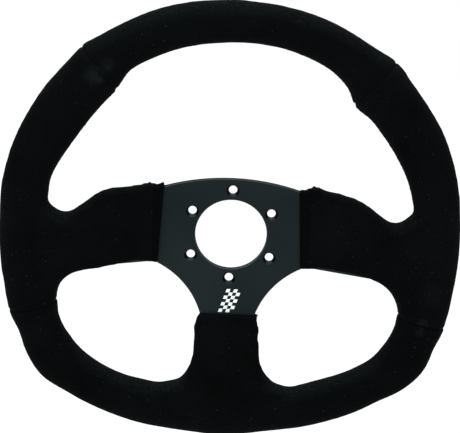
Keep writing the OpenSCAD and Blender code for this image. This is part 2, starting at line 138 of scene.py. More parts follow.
floor_bm = bmesh.new()
bmesh.ops.create_grid(floor_bm, x_segments=1, y_segments=1, size=FLOOR_SIZE / 2)
bmesh.ops.translate(floor_bm, vec=(0.0, 0.0, cad_low.z - FLOOR_DROP), verts=floor_bm.verts)
floor_mesh = bpy.data.meshes.new("floor")
floor_bm.to_mesh(floor_mesh)
floor_bm.free()
floor = bpy.data.objects.new("floor", floor_mesh)
scene.collection.objects.link(floor)
print("floor", FLOOR_DROP, "m below the wheel")

# %% [markdown]
# ## Helpers for materials
# Every finish here is built from noise in Object coordinates, because the pieces sit at the origin and
# their place is in their meshes, so a pattern stays where it is when the camera moves. A number that is
# the same all over a surface is typed straight into the shader's socket.

# %% Material helpers
def new_material(name, **sockets):
    """A material with a Principled shader, whose plain numbers and colours are set on its sockets."""
    material = bpy.data.materials.new(name)
    material.use_nodes = True
    shader = material.node_tree.nodes["Principled BSDF"]
    for label, value in sockets.items():
        shader.inputs[label.replace("_", " ")].default_value = value
    return material


def add_node(material, kind, inputs=(), **settings):
    """Adds a node; inputs are (socket, number) or (socket, another node's output)."""
    node = material.node_tree.nodes.new(kind)
    for label, value in settings.items():
        setattr(node, label, value)
    for socket, value in inputs:
        if isinstance(value, bpy.types.NodeSocket):
            material.node_tree.links.new(value, node.inputs[socket])
        else:
            node.inputs[socket].default_value = value
    return node


def object_place(material):
    return add_node(material, "ShaderNodeTexCoord").outputs["Object"]


def noise_at(material, scale, detail=2.0, roughness=0.5):
    """Cloudy noise, with a scale in waves to the metre."""
    return add_node(material, "ShaderNodeTexNoise", [("Vector", object_place(material)), ("Scale", scale),
                                                     ("Detail", detail), ("Roughness", roughness)])


def ramp(material, factor, *stops):
    """Turns a number into a colour or a new number; the stops are (place, grey or colour)."""
    node = add_node(material, "ShaderNodeValToRGB", [("Fac", factor)])
    elements = node.color_ramp.elements
    while len(elements) < len(stops):
        elements.new(0.5)
    for element, (place, value) in zip(elements, stops):
        element.position = place
        element.color = (*value, 1.0) if isinstance(value, tuple) else (value, value, value, 1.0)
    return node.outputs["Color"]


def plug(material, socket, output):
    shader = material.node_tree.nodes["Principled BSDF"]
    material.node_tree.links.new(output, shader.inputs[socket])


def bump(material, height, distance, strength=1.0, under=None):
    inputs = [("Height", height), ("Distance", distance), ("Strength", strength)]
    if under is not None:
        inputs.append(("Normal", under))
    return add_node(material, "ShaderNodeBump", inputs).outputs["Normal"]


def mixed(material, factor, first, second, blend="MIX"):
    node = add_node(material, "ShaderNodeMix", data_type="RGBA", blend_type=blend)
    for socket, value in ((0, factor), (6, first), (7, second)):
        if isinstance(value, bpy.types.NodeSocket):
            material.node_tree.links.new(value, node.inputs[socket])
        else:
            node.inputs[socket].default_value = value
    return node.outputs[2]


def product(material, first, second):
    """Two numbers or outputs multiplied together."""
    return add_node(material, "ShaderNodeMath", [(0, first), (1, second)], operation="MULTIPLY").outputs[0]


def step_down(material, value, start, end):
    """One below the first length in millimetres, nothing above the second, and a slope between."""
    return add_node(material, "ShaderNodeMapRange",
                    [("Value", value), ("From Min", start * MM), ("From Max", end * MM),
                     ("To Min", 1.0), ("To Max", 0.0)]).outputs[0]


floor_paint = new_material("pale_floor", Base_Color=(0.93, 0.93, 0.93, 1.0), Roughness=0.9)
paint_cloud = noise_at(floor_paint, 3.0).outputs["Fac"]
plug(floor_paint, "Base Color", ramp(floor_paint, paint_cloud, (0.0, 0.92), (1.0, 0.94)))
floor.data.materials.append(floor_paint)
print("floor painted")

# %% [markdown]
# ## Suede
# Suede is a nap of fine fibres. It has almost no shine, it looks lighter where the fibres stand across
# the light, and it holds a few specks of dust. Sheen gives the nap, fine noise gives the fibres, and a
# broad noise shifts the nap between two near-blacks as brushing does. The specks are the sparse peaks of
# a fine noise.
#
# Surfaces that face upwards get painted light from above, in streaks. A few painted highlights sit near
# two of the seams; each is given as its centre, its radius in millimetres and its strength. Each side
# sleeve is darker from its mouth to the end of the folded hem. The valley along each lower seam gets
# painted shade. That seam lies in a plane, given by two numbers for its direction and one for its distance
# from the hub.

# %% Suede
SUEDE_DARK = (0.0010, 0.0013, 0.0014)
SUEDE_LIGHT = (0.0024, 0.0031, 0.0033)
PAINTED_TOP_LIGHT = (0.0066, 0.0084, 0.0088)
PAINTED_HIGHLIGHT = (0.0150, 0.0195, 0.0205)
SPECK = (0.014, 0.017, 0.018)
SEAM_BLACK = (0.0002, 0.0003, 0.0003)
FRONT_Y = -14
HIGHLIGHT_SPOTS = [((-107, 121), 9, 0.5), ((-103, 118), 4, 0.5), ((-97, 130), 7, 0.4),
              ((151, -61), 6, 0.6), ((150, -69), 5, 0.4), ((157, -38), 14, 0.15)]
LOWER_SEAM = (-0.242, -0.970, 25.0)
SEAM_SHADE = (0.5, 1.6)
SEAM_DARKENING = 0.85
HEM_BAND = (60.0, 61.2)
HEM_TOP = (46.0, 48.0)
HEM_DARKENING = 0.6

suede = new_material("suede", Roughness=0.95, Specular_IOR_Level=0.016, Sheen_Weight=0.006,
                     Sheen_Roughness=0.45, Sheen_Tint=(0.75, 0.95, 1.0, 1.0))
brushed = noise_at(suede, 20.0, 3.0, 0.6).outputs["Fac"]
fibres = noise_at(suede, 1900.0, 2.0, 0.7).outputs["Fac"]
nap = ramp(suede, brushed, (0.30, SUEDE_DARK), (0.80, SUEDE_LIGHT))
nap = mixed(suede, ramp(suede, fibres, (0.40, 0.0), (0.75, 0.45)), nap, (*SUEDE_LIGHT, 1.0))

# Painted light from above: surfaces whose normal points up are lightened, in streaks.
looks_up = add_node(suede, "ShaderNodeSeparateXYZ",
                    [(0, add_node(suede, "ShaderNodeNewGeometry").outputs["Normal"])])
painted_top_light_mask = product(suede, ramp(suede, looks_up.outputs["Z"], (0.35, 0.0), (0.95, 1.0)),
                  ramp(suede, noise_at(suede, 380.0, 4.0, 0.75).outputs["Fac"], (0.40, 0.15), (0.68, 1.0)))
nap = mixed(suede, painted_top_light_mask, nap, (*PAINTED_TOP_LIGHT, 1.0))

# Painted highlights: soft lit patches beside two of the seams, broken into streaks by noise.
streaks = ramp(suede, noise_at(suede, 260.0, 4.0, 0.7).outputs["Fac"], (0.34, 0.25), (0.66, 1.0))
for (x, z), size, amount in HIGHLIGHT_SPOTS:
    away = add_node(suede, "ShaderNodeVectorMath",
                    [(0, object_place(suede)), (1, Vector((x, FRONT_Y, z)) * MM)],
                    operation="DISTANCE").outputs["Value"]
    away = add_node(suede, "ShaderNodeMath", [(0, away), (1, size * MM)], operation="DIVIDE").outputs[0]
    spot_highlight = product(suede, ramp(suede, away, (0.1, amount), (1.0, 0.0)), streaks)
    nap = mixed(suede, spot_highlight, nap, (*PAINTED_HIGHLIGHT, 1.0))

place = add_node(suede, "ShaderNodeVectorMath", [(0, object_place(suede))], operation="ABSOLUTE").outputs[0]
along = add_node(suede, "ShaderNodeSeparateXYZ", [(0, place)]).outputs
hem = product(suede, step_down(suede, along["X"], *HEM_BAND), step_down(suede, along["Z"], *HEM_TOP))
nap = mixed(suede, product(suede, hem, HEM_DARKENING), nap, (*SUEDE_DARK, 1.0))
# Painted shade: the valley along each lower seam is darkened, as shade falls in it.
upright = add_node(suede, "ShaderNodeSeparateXYZ", [(0, object_place(suede))]).outputs["Z"]
away = add_node(suede, "ShaderNodeMath", [(0, along["X"]), (1, LOWER_SEAM[0]), (2, -LOWER_SEAM[2] * MM)],
                operation="MULTIPLY_ADD").outputs[0]
away = add_node(suede, "ShaderNodeMath", [(0, upright), (1, LOWER_SEAM[1]), (2, away)],
                operation="MULTIPLY_ADD").outputs[0]
away = add_node(suede, "ShaderNodeMath", [(0, away)], operation="ABSOLUTE").outputs[0]
painted_seam_shade = product(suede, step_down(suede, away, *SEAM_SHADE), SEAM_DARKENING)
nap = mixed(suede, painted_seam_shade, nap, (*SEAM_BLACK, 1.0))
dust = ramp(suede, noise_at(suede, 820.0, 0.0).outputs["Fac"], (0.80, 0.0), (0.86, 1.0))
plug(suede, "Base Color", mixed(suede, dust, nap, (*SPECK, 1.0)))
creased = bump(suede, noise_at(suede, 240.0, 4.0, 0.6).outputs["Fac"], 0.25 * MM)
plug(suede, "Normal", bump(suede, fibres, 0.12 * MM, under=creased))
print("suede ready")

# %% [markdown]
# ## Anodised aluminium
# Black anodising is a dyed skin on satin metal. It is dark, a little blue-green, and its fine grain blurs
# what it reflects. A painted highlight lifts the colour wherever the surface slopes, as on the plate's
# chamfered edge. The countersinks round the bolt circle carry painted shade, with a painted highlight on
# their lower lip. A Compare node picks them out by their distance from the hub's centre.

# %% Anodised aluminium
PLATE_BLACK = (0.0095, 0.0140, 0.0148)
PLATE_GREY = (0.0152, 0.0210, 0.0222)
CHAMFER_HIGHLIGHT = (0.050, 0.070, 0.070)
SINK_SHADE = (0.0030, 0.0045, 0.0048)
SINK_LIP_HIGHLIGHT = (0.055, 0.075, 0.078)
BOLT_RING = (29.5, 41.0)

anodised = new_material("anodised_black", Metallic=0.85, Roughness=0.42, Specular_IOR_Level=0.25,
                        Specular_Tint=(0.25, 0.25, 0.25, 1.0))
metal_cloud = noise_at(anodised, 14.0, 2.0, 0.5).outputs["Fac"]
shade = ramp(anodised, metal_cloud, (0.3, PLATE_BLACK), (0.7, PLATE_GREY))
facing = add_node(anodised, "ShaderNodeNewGeometry").outputs["Normal"]
flatness = add_node(anodised, "ShaderNodeSeparateXYZ", [("Vector", facing)]).outputs["Y"]
flatness = add_node(anodised, "ShaderNodeMath", [(0, flatness)], operation="ABSOLUTE").outputs[0]
# Painted highlight: the colour is lifted where the surface slopes away from facing forwards, as on chamfers.
edge = ramp(anodised, flatness, (0.20, 0.06), (0.45, 0.8), (0.85, 0.8), (0.97, 0.0))
shade = mixed(anodised, edge, shade, (*CHAMFER_HIGHLIGHT, 1.0))
# Painted shade inside the countersinks, with a painted highlight on their upward-facing lower lip.
upward = add_node(anodised, "ShaderNodeSeparateXYZ", [("Vector", facing)]).outputs["Z"]
sink_shade_and_highlight = ramp(anodised, upward, (0.55, SINK_SHADE), (0.84, SINK_LIP_HIGHLIGHT))
radius = add_node(anodised, "ShaderNodeVectorMath", [(0, object_place(anodised))],
                  operation="LENGTH").outputs["Value"]
near_bolts = add_node(anodised, "ShaderNodeMath", [(0, radius), (1, sum(BOLT_RING) / 2 * MM),
                                                   (2, (BOLT_RING[1] - BOLT_RING[0]) / 2 * MM)],
                      operation="COMPARE").outputs[0]
sloping = ramp(anodised, flatness, (0.90, 1.0), (0.97, 0.0))
in_sink = product(anodised, near_bolts, sloping)
plug(anodised, "Base Color", mixed(anodised, in_sink, shade, sink_shade_and_highlight))
grain = noise_at(anodised, 2600.0, 3.0, 0.7).outputs["Fac"]
metal_haze = noise_at(anodised, 60.0, 4.0, 0.6).outputs["Fac"]
plug(anodised, "Roughness", ramp(anodised, metal_haze, (0.3, 0.36), (0.7, 0.48)))
plug(anodised, "Normal", bump(anodised, grain, 0.012 * MM))
print("anodising ready")

# %% [markdown]
# ## Thread, ink, steel and foam
# The thread is twisted, so fine waves run round it. The ink has pinholes where the grain shows through.
# The steel, the rivets and the foam are out of sight once the suede is on, but each is a real finish for
# whoever takes the wheel apart.

# %% Thread, ink, steel and foam
THREAD_DARK = (0.0006, 0.0008, 0.0009)
THREAD_LIGHT = (0.0036, 0.0046, 0.0050)

thread = new_material("waxed_thread", Roughness=0.7, Specular_IOR_Level=0.03)
strands = noise_at(thread, 2400.0, 2.0).outputs["Fac"]
plug(thread, "Base Color", ramp(thread, strands, (0.3, THREAD_DARK), (0.7, THREAD_LIGHT)))
plug(thread, "Normal", bump(thread, strands, 0.1 * MM))

ink = new_material("white_ink", Roughness=0.5)
pinholes = noise_at(ink, 1500.0, 3.0, 0.6).outputs["Fac"]
plug(ink, "Base Color", ramp(ink, pinholes, (0.30, (0.35, 0.40, 0.40)), (0.48, (0.80, 0.86, 0.86))))
plug(ink, "Normal", bump(ink, pinholes, 0.02 * MM))

steel_paint = new_material("zinc_grey_steel", Metallic=0.6, Roughness=0.5)
cloud = noise_at(steel_paint, 90.0, 5.0).outputs["Fac"]
plug(steel_paint, "Base Color",
     ramp(steel_paint, cloud, (0.3, (0.16, 0.17, 0.18)), (0.7, (0.24, 0.25, 0.26))))
plug(steel_paint, "Normal", bump(steel_paint, noise_at(steel_paint, 900.0).outputs["Fac"], 0.03 * MM))

rivet_steel = new_material("rivet_steel", Metallic=1.0, Roughness=0.3)
hammered = noise_at(rivet_steel, 700.0, 3.0).outputs["Fac"]
plug(rivet_steel, "Base Color", ramp(rivet_steel, hammered, (0.3, 0.45), (0.7, 0.62)))
plug(rivet_steel, "Normal", bump(rivet_steel, hammered, 0.03 * MM))

moulded_foam = new_material("moulded_foam", Roughness=0.85)
cells = add_node(moulded_foam, "ShaderNodeTexVoronoi",
                 [("Vector", object_place(moulded_foam)), ("Scale", 900.0)])
plug(moulded_foam, "Base Color", ramp(moulded_foam, cells.outputs["Distance"], (0.0, 0.02), (1.0, 0.06)))
plug(moulded_foam, "Normal", bump(moulded_foam, cells.outputs["Distance"], 0.3 * MM))

sheet_foam = new_material("sheet_foam", Roughness=0.9)
skin_cells = add_node(sheet_foam, "ShaderNodeTexVoronoi",
                      [("Vector", object_place(sheet_foam)), ("Scale", 1600.0)])
plug(sheet_foam, "Base Color", ramp(sheet_foam, skin_cells.outputs["Distance"], (0.0, 0.03), (1.0, 0.08)))
plug(sheet_foam, "Normal", bump(sheet_foam, skin_cells.outputs["Distance"], 0.2 * MM))

FINISHES = {"spoke_plate": anodised, "rim_ring": steel_paint, "saddle": steel_paint, "rivets": rivet_steel,
            "rim_foam": moulded_foam, "pad": sheet_foam, "cover": suede, "lacing": thread, "seam": thread}
for name, node in nodes.items():
    finish = next(material for key, material in FINISHES.items() if key in name)
    node.data.materials.clear()
    node.data.materials.append(finish)
print("finished", len(nodes), "CAD nodes")

# %% [markdown]
# ## The rim's centreline
# The rim follows one closed line: a round top, two straight flanks, two tight corners and a shallow arc
# along the bottom. The round top's radius and the drop to the bottom are read from the steel ring, so the
# suede always fits the frame. The line is measured in millimetres down the right-hand side from the top;
# a negative distance, or one past the bottom, is on the left.

# %% The rim's centreline
ring_low, ring_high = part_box("rim_ring")
tube_r = (ring_high.y - ring_low.y) / 2 / MM
mid_y = (ring_high.y + ring_low.y) / 2 / MM
ring_r = ring_high.x / MM - tube_r
base_drop = -ring_low.z / MM - tube_r
FLANK_TILT = math.radians(14)
CORNER_R = 48.0
BASE_R = 250.0


def unit(angle):
    return Vector((math.cos(angle), math.sin(angle)))


flank_out = unit(-FLANK_TILT)
flank_down = unit(-FLANK_TILT - math.pi / 2)
flank_top = ring_r * flank_out
base_centre = Vector((0.0, BASE_R - base_drop))
corner_gap = flank_top - CORNER_R * flank_out - base_centre
corner_run = corner_gap.dot(flank_down)
flank_len = math.sqrt(corner_run ** 2 - corner_gap.length_squared + (BASE_R - CORNER_R) ** 2) - corner_run
corner_centre = flank_top + flank_len * flank_down - CORNER_R * flank_out
corner_end = math.atan2(corner_centre.y - base_centre.y, corner_centre.x - base_centre.x)

round_stop = ring_r * (math.pi / 2 + FLANK_TILT)
flank_stop = round_stop + flank_len
corner_stop = flank_stop + CORNER_R * (-FLANK_TILT - corner_end)
half_len = corner_stop + BASE_R * (math.pi / 2 + corner_end)


def centreline(s):
    """Point on the centreline, and the direction that points out of the wheel there, as 2-D vectors."""
    s = s - 2 * half_len if s > half_len else s
    f = abs(s)
    if f < round_stop:
        out = unit(math.pi / 2 - f / ring_r)
        point = ring_r * out
    elif f < flank_stop:
        out = flank_out
        point = flank_top + (f - round_stop) * flank_down
    elif f < corner_stop:
        out = unit(-FLANK_TILT - (f - flank_stop) / CORNER_R)
        point = corner_centre + CORNER_R * out
    else:
        out = unit(corner_end - (f - corner_stop) / BASE_R)
        point = base_centre + BASE_R * out
    side = -1.0 if s < 0 else 1.0
    return Vector((side * point.x, point.y)), Vector((side * out.x, out.y))


print("rim is", round(2 * half_len), "mm round, tube radius", round(tube_r, 2))

# %% [markdown]
# ## The grip's size along the rim
# The foam is thin along the top, swells inwards into two thumb rests at the upper seams, and thickens
# again round the lower corners. The suede is wrapped by hand, so the two sides are close but not equal.
# One list gives the reach of the finished surface outwards from the centreline, the other the reach
# inwards, each as (distance along the rim, reach). Both have a place wherever the outline turns, and a
# curve through them fills in the rest. Its slopes are taken from a place's neighbours, which keeps the
# outline free of corners.

# %% The grip's size along the rim
GRIP_DEPTH = 29.0
OUTER_REACH = [(-505, 18), (-480, 17), (-440, 18.5), (-397, 18.5), (-380, 18), (-366, 19.5),
               (-337, 18.5), (-318, 22.5), (-290, 21), (-250, 19), (-210, 20.5), (-155, 21.5),
               (-125, 22.5), (-112, 24), (-97, 22), (-45, 21), (0, 19.5), (45, 19.5), (97, 20),
               (112, 22.5), (119, 22.5), (130, 20.5), (155, 20), (195, 19), (230, 17.5), (270, 18.5),
               (318, 23), (337, 20), (351, 20), (366, 17), (380, 14.5), (397, 15.5), (440, 16),
               (470, 15), (490, 16.5), (505, 18)]
INNER_REACH = [(-505, 16), (-440, 16), (-425, 14), (-411, 13), (-397, 13.5), (-380, 16), (-366, 17.5),
               (-351, 17.5), (-328, 13.5), (-318, 15.5), (-230, 16.5), (-210, 15.5), (-182, 18.5),
               (-155, 20), (-119, 18.5), (-105, 16), (-95, 12), (-70, 11.5), (0, 12), (20, 11.5),
               (70, 12), (97, 15.5), (112, 22.5), (130, 21), (155, 21), (195, 18.5), (230, 17),
               (250, 16.5), (318, 15.5), (328, 14), (351, 17.5), (380, 17), (397, 16), (425, 17),
               (440, 17), (470, 16), (505, 16)]


def smooth_between(table, x):
    """A smooth curve through a list of (place, value, ...) rows, level beyond both ends."""
    if x <= table[0][0]:
        return list(table[0][1:])
    if x >= table[-1][0]:
        return list(table[-1][1:])
    i = max(k for k in range(len(table) - 1) if table[k][0] <= x)
    before, start = table[max(i - 1, 0)], table[i]
    end, after = table[i + 1], table[min(i + 2, len(table) - 1)]
    width = end[0] - start[0]
    t = (x - start[0]) / width
    values = []
    for k in range(1, len(start)):
        slope_0 = (end[k] - before[k]) / max(end[0] - before[0], 1e-6) * width
        slope_1 = (after[k] - start[k]) / max(after[0] - start[0], 1e-6) * width
        values.append((2 * t ** 3 - 3 * t ** 2 + 1) * start[k] + (t ** 3 - 2 * t ** 2 + t) * slope_0
                      + (3 * t ** 2 - 2 * t ** 3) * end[k] + (t ** 3 - t ** 2) * slope_1)
    return values


def grip_surface(s, angle, sunk=0.0):
    """A point on the grip at distance s along the rim; angle 0 is outermost and a half turn innermost."""
    point, out = centreline(s)
    s = s - 2 * half_len if s > half_len else s
    outer = smooth_between(OUTER_REACH, s)[0] - sunk
    inner = smooth_between(INNER_REACH, s)[0] - sunk
    across = (outer - inner) / 2 + (outer + inner) / 2 * math.cos(angle)
    depth = (GRIP_DEPTH / 2 - sunk) * math.sin(angle)
    flat = point + across * out
    return Vector((flat.x, mid_y + depth, flat.y)) * MM


upper_seam = ring_r * math.radians(90 - 50)
lower_seam = round_stop + 25.0
print("top of the rim at", [round(v / MM, 1) for v in grip_surface(0.0, 0.0)])

# %% [markdown]
# ## The sleeves
# Each spoke is wrapped in a flat sleeve that leaves the plate about 10 mm thick and flares out into the
# rim, with a wide web in each corner of the windows. A sleeve is described by slices: how far out the
# slice is, where its two edges are, and half its thickness. A slice is a flat bar with round edges. The
# left and right sleeves differ a little, as hand-wrapped ones do.

# %% The sleeves
RIGHT_SLICES = [(49, -27, 38.5, 5.3), (60, -27, 39.5, 5.3), (70, -26, 39, 5.4), (90, -29, 34.5, 5.8),
                (100, -30.5, 30.5, 6.5), (110, -33, 24, 7.6), (118, -36.5, 18.5, 9),
                (125, -42, 15.5, 10.4), (131, -51.5, 17, 11.6), (136, -62, 21.5, 12.2),
                (150, -58, 24, 11)]
LEFT_SLICES = [(49, -26, 39.5, 5.3), (60, -26.5, 38, 5.3), (70, -26, 37, 5.4), (80, -28.5, 35.5, 5.5),
               (90, -31, 34, 5.8), (100, -33.5, 31, 6.5), (110, -35.5, 24, 7.6), (118, -37.5, 18, 9),
               (125, -41.5, 13.5, 10.4), (131, -48.5, 13.5, 11.6), (136, -62, 16, 12.2),
               (150, -58, 24, 11)]
STEM_SLICES = [(61, -24, 24.5, 5.3), (72, -25.5, 25.5, 5.3), (90, -27, 27.5, 5.6),
               (100, -27, 28.5, 6.2), (107, -29, 30.5, 7), (113, -31.5, 33.5, 8.4), (118, -35, 38, 9.8),
               (122, -38.5, 42, 11), (126, -54, 54, 11.8), (140, -46, 46, 11)]


def sleeve_surface(slices, distance, angle):
    """A point on a sleeve, as its distance out, its place across the spoke and its depth."""
    low, high, half = smooth_between(slices, distance)
    straight = (high - low) / 2 - half
    across = (high + low) / 2 + math.copysign(straight, math.cos(angle)) + half * math.cos(angle)
    return distance, across, mid_y + half * math.sin(angle)


def right_sleeve(distance, angle):
    x, z, y = sleeve_surface(RIGHT_SLICES, distance, angle)
    return Vector((x, y, z)) * MM


def left_sleeve(distance, angle):
    x, z, y = sleeve_surface(LEFT_SLICES, distance, angle)
    return Vector((-x, y, z)) * MM


def bottom_sleeve(distance, angle):
    z, x, y = sleeve_surface(STEM_SLICES, distance, angle)
    return Vector((x, y, -z)) * MM


print("side sleeves run from", RIGHT_SLICES[0][0], "to", RIGHT_SLICES[-1][0], "mm from the hub")

# %% [markdown]
# ## From sections to a closed form
# A tube is easiest to make straight: a circle, extruded edge by edge along Z. Each point then holds its
# distance along the tube and its angle, and one function carries it to its place on the wheel. The rim
# and a sleeve are made as two closed tubes that overlap. A voxel remesh turns them into a single skin of
# even squares, and a little smoothing rounds the join, as stretched suede does.

# %% From sections to a closed form
VOXEL = 3.0
SMOOTHINGS = 3


def swept_tube(bm, surface, start, end, step, sides):
    """Adds a closed tube to a bmesh; surface(distance, angle) says where each point goes."""
    tube = bmesh.new()
    ring = bmesh.ops.create_circle(tube, cap_ends=False, segments=sides, radius=1.0)["verts"]
    bmesh.ops.translate(tube, vec=(0.0, 0.0, start), verts=ring)
    edges = tube.edges[:]
    steps = max(1, round((end - start) / step))
    for _ in range(steps):
        made = bmesh.ops.extrude_edge_only(tube, edges=edges)["geom"]
        ring = {item for item in made if isinstance(item, bmesh.types.BMVert)}
        edges = [item for item in made if isinstance(item, bmesh.types.BMEdge) and set(item.verts) <= ring]
        bmesh.ops.translate(tube, vec=(0.0, 0.0, (end - start) / steps), verts=list(ring))
    bmesh.ops.holes_fill(tube, edges=[edge for edge in tube.edges if edge.is_boundary], sides=0)
    for vert in tube.verts:
        vert.co = surface(vert.co.z, math.atan2(vert.co.y, vert.co.x))
    bmesh.ops.recalc_face_normals(tube, faces=tube.faces)
    carrier = bpy.data.meshes.new("carrier")
    tube.to_mesh(carrier)
    tube.free()
    bm.from_mesh(carrier)
    bpy.data.meshes.remove(carrier)


def new_object(name, mesh):
    obj = bpy.data.objects.new(name, mesh)
    scene.collection.objects.link(obj)
    return obj


def bake(obj):
    """Applies an object's modifiers."""
    depsgraph = bpy.context.evaluated_depsgraph_get()
    baked = bpy.data.meshes.new_from_object(obj.evaluated_get(depsgraph), depsgraph=depsgraph)
    old, obj.data = obj.data, baked
    obj.modifiers.clear()
    bpy.data.meshes.remove(old)


def even_skin(name, tubes):
    """One evenly meshed skin round overlapping tubes, each given as (surface, start, end, step, sides)."""
    bm = bmesh.new()
    for tube in tubes:
        swept_tube(bm, *tube)
    mesh = bpy.data.meshes.new(name)
    bm.to_mesh(mesh)
    bm.free()
    obj = new_object(name, mesh)
    remesh = obj.modifiers.new("Even squares", "REMESH")
    remesh.mode = "VOXEL"
    remesh.voxel_size = VOXEL * MM
    bake(obj)
    bm = bmesh.new()
    bm.from_mesh(obj.data)
    for _ in range(SMOOTHINGS):
        bmesh.ops.smooth_vert(bm, verts=bm.verts, factor=0.5,
                              use_axis_x=True, use_axis_y=True, use_axis_z=True)
    bm.to_mesh(obj.data)
    bm.free()
    return obj


# %% [markdown]
# ## Stretching the suede
# The covers are pulled tight over soft foam, so the foam pushes back evenly. Cloth with a little pressure
# inside and no gravity does the same: the skin swells where it is slack and stays where it is tight. No
# point may travel further than a cap, which keeps the grip's measured size.

# %% Stretching the suede
PRESSURE = 4.0
MOST_SWELL = 1.3
FRAMES = 20


def swell(obj):
    """Runs Cloth with pressure, applies it, and caps how far any point has moved."""
    start = [vert.co.copy() for vert in obj.data.vertices]
    cloth = obj.modifiers.new("Cloth", "CLOTH")
    cloth.settings.quality = 5
    cloth.settings.mass = 0.3
    cloth.settings.use_pressure = True
    cloth.settings.uniform_pressure_force = PRESSURE
    cloth.settings.effector_weights.gravity = 0.0
    cloth.point_cache.frame_start = 1
    cloth.point_cache.frame_end = FRAMES
    for frame_number in range(1, FRAMES + 1):
        scene.frame_set(frame_number)
    bake(obj)
    scene.frame_set(1)
    furthest = 0.0
    for vert, before in zip(obj.data.vertices, start):
        move = vert.co - before
        furthest = max(furthest, move.length)
        if move.length > MOST_SWELL * MM:
            vert.co = before + move.normalized() * MOST_SWELL * MM
    bm = bmesh.new()
    bm.from_mesh(obj.data)
    bmesh.ops.smooth_vert(bm, verts=bm.verts, factor=0.5, use_axis_x=True, use_axis_y=True, use_axis_z=True)
    bm.to_mesh(obj.data)
    bm.free()
    return furthest / MM


def subdivide(obj):
    smooth = obj.modifiers.new("Subdivision", "SUBSURF")
    smooth.levels = smooth.render_levels = 1
    bake(obj)


# %% [markdown]
# ## Cutting the panels
# Two panels meet at a seam where both edges are turned under and pulled down by the thread, which leaves
# a narrow valley round the rim. A panel is cut by the plane across the rim at its seam. A few more cuts
# beside the seam give the skin enough rows for the valley, and the rows are then sunk along their own
# normals. At a sleeve's mouth the suede is folded down onto the plate: its open edge is extruded twice,
# first as a rolled lip and then onto the plate's own outline. A faint ridge shows where the hem ends.

# %% Cutting the panels
SEAM_ROWS = (0.4, 0.9, 1.5, 2.3, 4.0)
SEAM_WIDTH = 2.6
SEAM_DEPTH = 1.0
RIM_REACH = 45.0
HEM_ROWS = (1.0, 8.0, 8.7, 9.4, 10.2)
HEM_LINE = 8.7
HEM_DEPTH = 0.22
SLEEVE_MARGIN = 1.8
PLATE_HALF = 2.02


def seam_plane(s, ahead):
    """The plane across the rim at distance s, facing on along the rim, or back where ahead is -1."""
    point, _ = centreline(s)
    run = (centreline(s + 0.5)[0] - centreline(s - 0.5)[0]).normalized() * ahead
    return Vector((point.x, mid_y, point.y)) * MM, Vector((run.x, 0.0, run.y))


def cut(bm, place, facing, only=None):
    """Cuts a bmesh by a plane and throws away the side that it faces."""
    faces = [face for face in bm.faces if only is None or only(face.calc_center_median())]
    parts = {*faces, *(edge for face in faces for edge in face.edges),
             *(vert for face in faces for vert in face.verts)}
    bmesh.ops.bisect_plane(bm, geom=list(parts), dist=1e-7, plane_co=place, plane_no=facing, clear_outer=True)


def add_rows(bm, place, facing, rows, near):
    for row in rows:
        faces = [face for face in bm.faces if near(face.calc_center_median())]
        parts = {*faces, *(edge for face in faces for edge in face.edges),
                 *(vert for face in faces for vert in face.verts)}
        bmesh.ops.bisect_plane(bm, geom=list(parts), dist=1e-7,
                               plane_co=place - facing * row * MM, plane_no=facing)


def open_edges(bm, place, facing, near):
    return [edge for edge in bm.edges if edge.is_boundary
            and all(abs((vert.co - place).dot(facing)) < 0.02 * MM and near(vert.co) for vert in edge.verts)]


def in_order(edges):
    """The points of a closed loop of edges, one after the other."""
    left = set(edges)
    edge = left.pop()
    loop = [edge.verts[0], edge.verts[1]]
    while left:
        following = next((item for item in loop[-1].link_edges if item in left), None)
        if following is None:
            break
        left.discard(following)
        loop.append(following.other_vert(loop[-1]))
    return loop[:-1] if loop[-1] is loop[0] else loop


def sink_seam(bm, place, facing):
    """Makes the valley beside a seam, and gives back the loop of points along its bottom."""
    def near(co):
        return (co - place).length < RIM_REACH * MM

    add_rows(bm, place, facing, SEAM_ROWS, near)
    bm.normal_update()
    sunk = []
    for vert in bm.verts:
        away = -(vert.co - place).dot(facing) / MM
        if near(vert.co) and away < SEAM_WIDTH:
            ruck = 1.0 + 0.35 * noise.noise(vert.co * 260.0)
            sunk.append((vert, vert.normal * SEAM_DEPTH * ruck * (1.0 - away / SEAM_WIDTH) ** 2 * MM))
    bottom = [vert for vert in in_order(open_edges(bm, place, facing, near))]
    for vert, down in sunk:
        vert.co -= down
    return [vert.co.copy() for vert in bottom]


